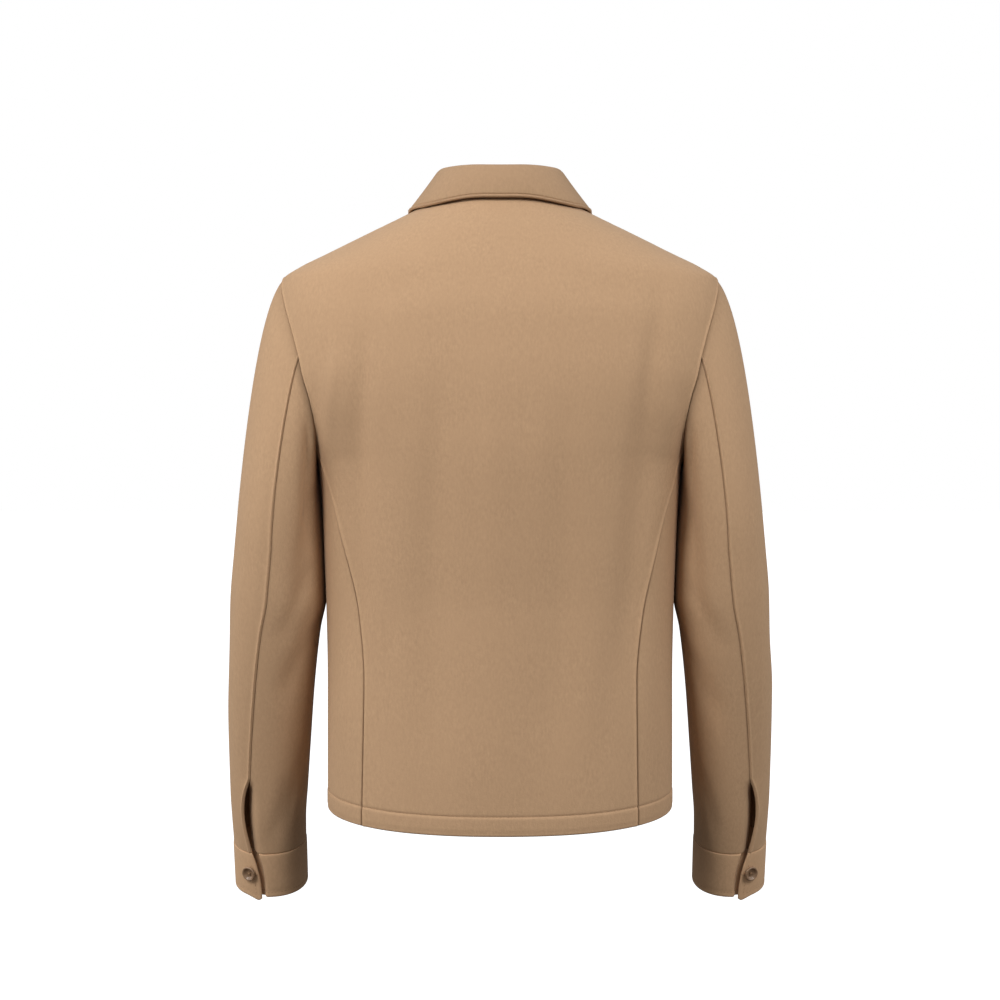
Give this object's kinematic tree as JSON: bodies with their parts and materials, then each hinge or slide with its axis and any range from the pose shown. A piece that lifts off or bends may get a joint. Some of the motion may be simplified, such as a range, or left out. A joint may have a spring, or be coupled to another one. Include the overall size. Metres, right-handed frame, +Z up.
{
  "type": "wool jacket",
  "caption": "Camel wool jacket with a shirt collar, two-piece sleeves with buttoned cuffs and a curved hem, filled out as worn and hollow inside.",
  "frame": {"origin": "the middle of the neck hole, level with the place where the shoulder seams meet the collar, which is where the wearer's neck and shoulders hold the jacket", "axes": "+Z up along the body, +X to the wearer's left, +Y to the wearer's back, so that the buttoned front faces -Y"},
  "size_m": [0.5838, 0.2523, 0.7769],
  "materials": {
    "body_wool": "felted wool with a short soft nap, matt",
    "sleeve_wool": "felted wool with a short soft nap, matt",
    "cuff_wool": "felted wool with a short soft nap, matt",
    "collar_wool": "felted wool with a short soft nap, matt",
    "button": "satin, the colour of the cloth"
  },
  "bodies": {
    "root": {"back": "body_wool", "front_left": "body_wool", "front_right": "body_wool", "sleeve_top_left": "sleeve_wool", "sleeve_top_right": "sleeve_wool", "sleeve_under_left": "sleeve_wool", "sleeve_under_right": "sleeve_wool", "cuff_left": "cuff_wool", "cuff_right": "cuff_wool", "collar": "collar_wool", "collar_stand": "collar_wool", "cuff_button_left": "button", "cuff_button_right": "button", "front_button_1": "button", "front_button_2": "button", "front_button_3": "button", "front_button_4": "button", "front_button_5": "button", "front_button_6": "button"}
  },
  "joints": []
}
